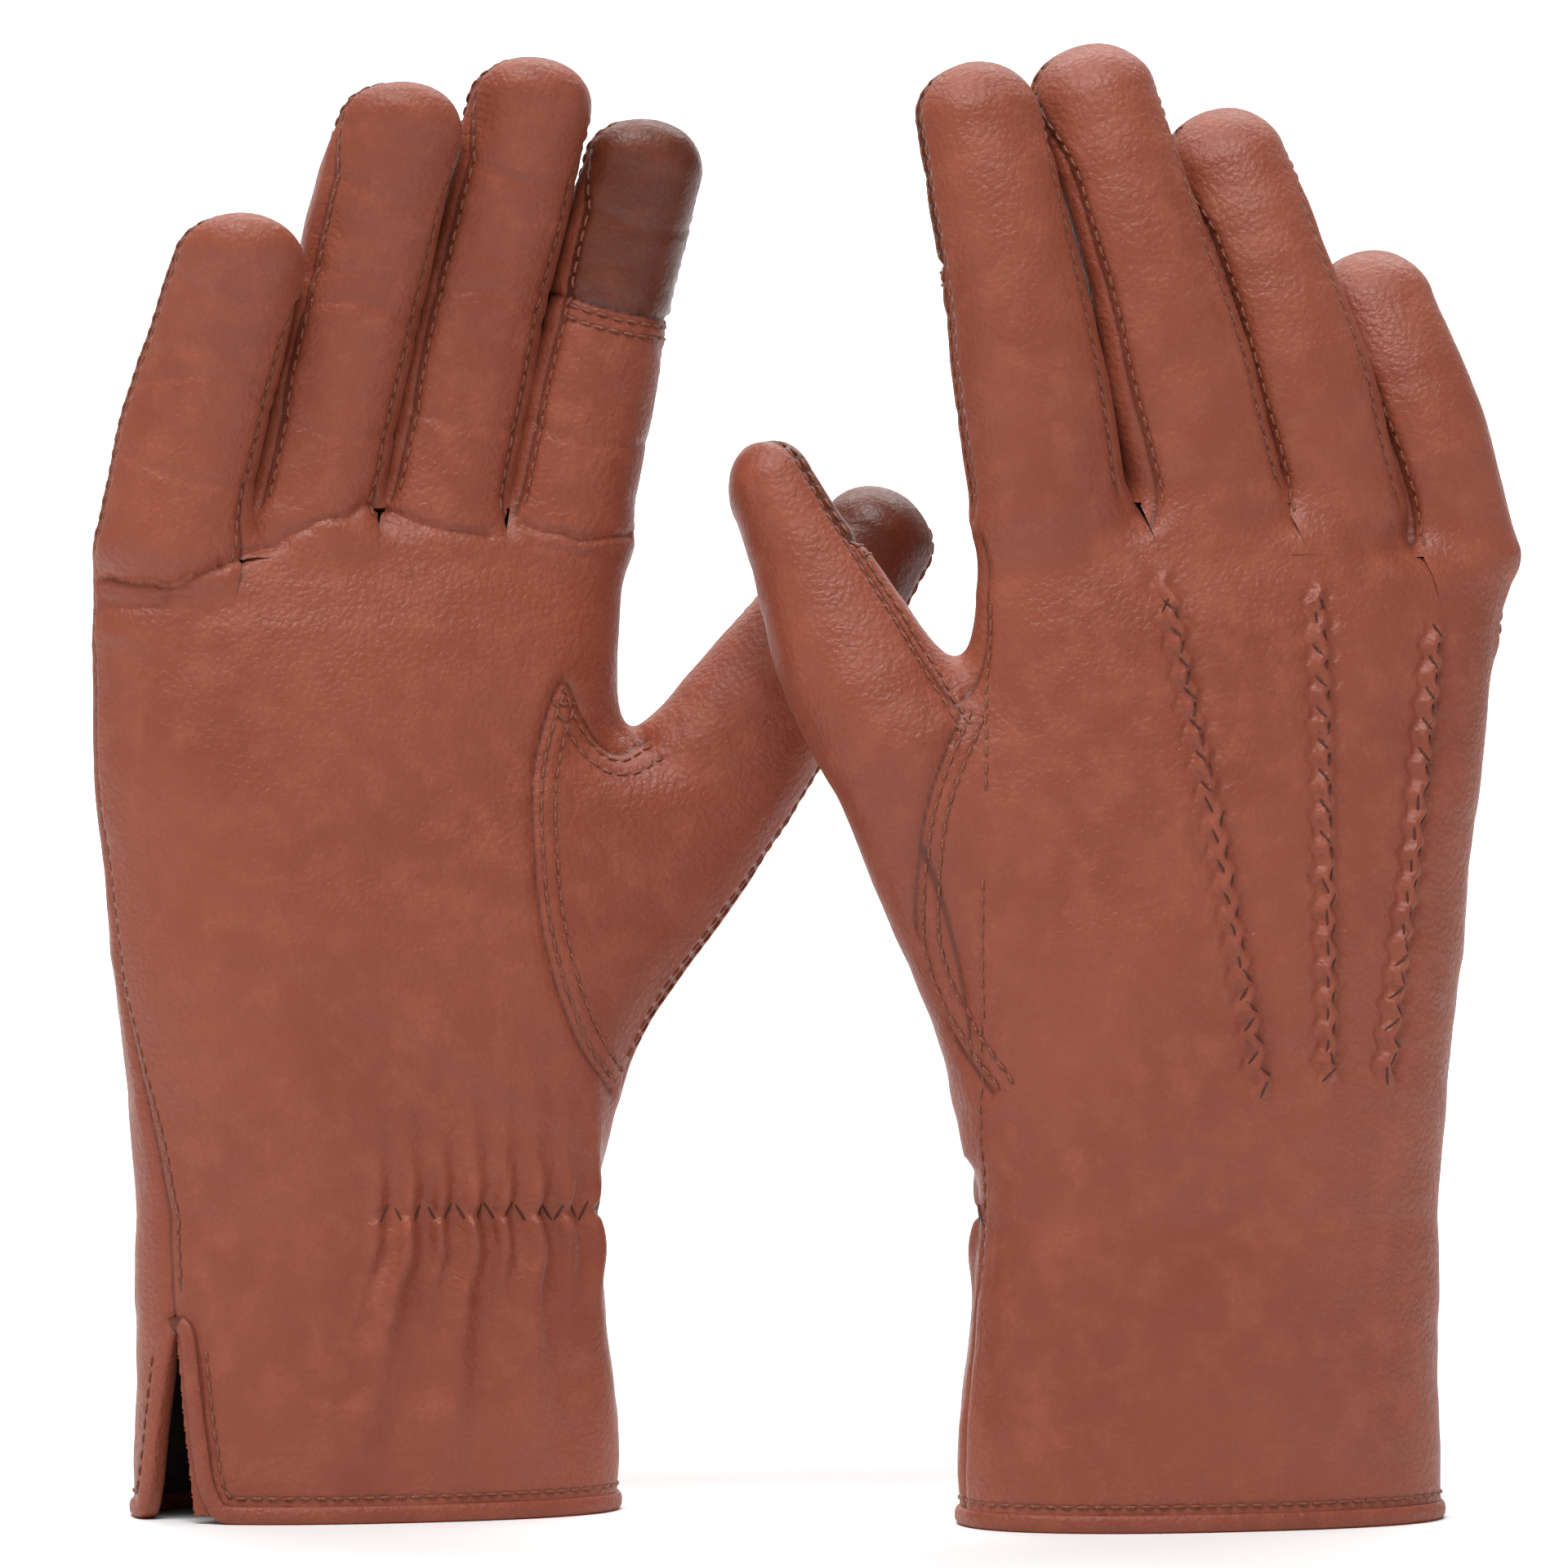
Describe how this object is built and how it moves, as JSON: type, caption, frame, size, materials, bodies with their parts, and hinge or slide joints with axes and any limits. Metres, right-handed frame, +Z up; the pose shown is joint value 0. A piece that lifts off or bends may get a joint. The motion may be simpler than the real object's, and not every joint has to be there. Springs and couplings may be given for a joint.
{
  "type": "leather touchscreen gloves",
  "caption": "Pair of lined leather gloves with touchscreen fingertips, pleated elastic wrists, points on the back and a vented, bound cuff.",
  "frame": {"origin": "bottom centre of the bounding box of the pair, on the surface that the hems stand on", "axes": "+Z up towards the fingertips; +X along the row from the first glove to the second; +Y away from the side on which the first glove shows its palm"},
  "size_m": [0.2482, 0.068, 0.2558],
  "materials": {
    "leather": "soft satin pebbled glove leather",
    "touch_leather": "smooth conductive-coated leather",
    "binding": "satin leather strip",
    "lining": "matte knitted lining",
    "elastic": "matte woven elastic",
    "thread": "satin twisted thread"
  },
  "bodies": {
    "glove1_index": {"glove1_index_gussets": "leather", "glove1_index_lining": "lining", "glove1_index_stall": "leather", "glove1_index_touch_tip": "touch_leather"},
    "glove1_little": {"glove1_little_gussets": "leather", "glove1_little_lining": "lining", "glove1_little_stall": "leather"},
    "glove1_middle": {"glove1_middle_gussets": "leather", "glove1_middle_lining": "lining", "glove1_middle_stall": "leather"},
    "glove1_ring": {"glove1_ring_gussets": "leather", "glove1_ring_lining": "lining", "glove1_ring_stall": "leather"},
    "glove1_thumb": {"glove1_thumb_back_piece": "leather", "glove1_thumb_lining": "lining", "glove1_thumb_palm_piece": "leather", "glove1_thumb_touch_tip": "touch_leather"},
    "glove1_hand": {"glove1_back_panel": "leather", "glove1_back_points": "leather", "glove1_hand_lining": "lining", "glove1_hem_binding": "binding", "glove1_hem_stitching": "thread", "glove1_index_crease": "leather", "glove1_little_crease": "leather", "glove1_middle_crease": "leather", "glove1_palm_panel": "leather", "glove1_ring_crease": "leather", "glove1_thumb_crease": "leather", "glove1_thumb_gusset": "leather", "glove1_wrist_elastic": "elastic"},
    "glove2_index": {"glove2_index_gussets": "leather", "glove2_index_lining": "lining", "glove2_index_stall": "leather", "glove2_index_touch_tip": "touch_leather"},
    "glove2_little": {"glove2_little_gussets": "leather", "glove2_little_lining": "lining", "glove2_little_stall": "leather"},
    "glove2_middle": {"glove2_middle_gussets": "leather", "glove2_middle_lining": "lining", "glove2_middle_stall": "leather"},
    "glove2_ring": {"glove2_ring_gussets": "leather", "glove2_ring_lining": "lining", "glove2_ring_stall": "leather"},
    "glove2_thumb": {"glove2_thumb_back_piece": "leather", "glove2_thumb_lining": "lining", "glove2_thumb_palm_piece": "leather", "glove2_thumb_touch_tip": "touch_leather"},
    "glove2_hand": {"glove2_back_panel": "leather", "glove2_back_points": "leather", "glove2_hand_lining": "lining", "glove2_hem_binding": "binding", "glove2_hem_stitching": "thread", "glove2_index_crease": "leather", "glove2_little_crease": "leather", "glove2_middle_crease": "leather", "glove2_palm_panel": "leather", "glove2_ring_crease": "leather", "glove2_thumb_crease": "leather", "glove2_thumb_gusset": "leather", "glove2_wrist_elastic": "elastic"}
  },
  "joints": [
    {"name": "glove1_index_bend", "type": "hinge", "parent": "glove1_hand", "child": "glove1_index", "pos_m": [-0.0414, 0.01716, 0.187], "axis": [0.9448, 0.2532, -0.2079], "range_deg": [-8, 58], "stiffness_Nm_per_rad": 0.05, "deforming": ["glove1_index_crease"]},
    {"name": "glove1_middle_bend", "type": "hinge", "parent": "glove1_hand", "child": "glove1_middle", "pos_m": [-0.06289, 0.01141, 0.1895], "axis": [0.9462, 0.2535, -0.2011], "range_deg": [-8, 58], "stiffness_Nm_per_rad": 0.05, "deforming": ["glove1_middle_crease"]},
    {"name": "glove1_ring_bend", "type": "hinge", "parent": "glove1_hand", "child": "glove1_ring", "pos_m": [-0.08518, 0.0044, 0.188], "axis": [0.9448, 0.2532, -0.2079], "range_deg": [-8, 58], "stiffness_Nm_per_rad": 0.05, "deforming": ["glove1_ring_crease"]},
    {"name": "glove1_little_bend", "type": "hinge", "parent": "glove1_hand", "child": "glove1_little", "pos_m": [-0.10899, -0.00405, 0.18], "axis": [0.9434, 0.2528, -0.2147], "range_deg": [-8, 58], "stiffness_Nm_per_rad": 0.05, "deforming": ["glove1_little_crease"]},
    {"name": "glove1_thumb_swing", "type": "hinge", "parent": "glove1_hand", "child": "glove1_thumb", "pos_m": [-0.01902, 0.01902, 0.125], "axis": [-0.2295, 0.9724, 0.0429], "range_deg": [-15, 15], "stiffness_Nm_per_rad": 0.08, "deforming": ["glove1_thumb_crease"]},
    {"name": "glove2_lift", "type": "slide", "parent": "glove1_hand", "child": "glove2_hand", "axis": [0, 0, 1], "range_m": [0, 0.26]},
    {"name": "glove2_index_bend", "type": "hinge", "parent": "glove2_hand", "child": "glove2_index", "pos_m": [0.03838, -0.01564, 0.19], "axis": [-0.9527, -0.2553, -0.165], "range_deg": [-8, 58], "stiffness_Nm_per_rad": 0.05, "deforming": ["glove2_index_crease"]},
    {"name": "glove2_middle_bend", "type": "hinge", "parent": "glove2_hand", "child": "glove2_middle", "pos_m": [0.06492, -0.00853, 0.19], "axis": [-0.9356, -0.2507, -0.2487], "range_deg": [-8, 58], "stiffness_Nm_per_rad": 0.05, "deforming": ["glove2_middle_crease"]},
    {"name": "glove2_ring_bend", "type": "hinge", "parent": "glove2_hand", "child": "glove2_ring", "pos_m": [0.08723, -0.00152, 0.188], "axis": [-0.9321, -0.2498, -0.2622], "range_deg": [-8, 58], "stiffness_Nm_per_rad": 0.05, "deforming": ["glove2_ring_crease"]},
    {"name": "glove2_little_bend", "type": "hinge", "parent": "glove2_hand", "child": "glove2_little", "pos_m": [0.10965, 0.00656, 0.179], "axis": [-0.9317, -0.2496, -0.2639], "range_deg": [-8, 58], "stiffness_Nm_per_rad": 0.05, "deforming": ["glove2_little_crease"]},
    {"name": "glove2_thumb_swing", "type": "hinge", "parent": "glove2_hand", "child": "glove2_thumb", "pos_m": [0.01634, -0.01637, 0.131], "axis": [0.1168, -0.9476, 0.2974], "range_deg": [0, 15], "stiffness_Nm_per_rad": 0.08, "deforming": ["glove2_thumb_crease"]}
  ]
}
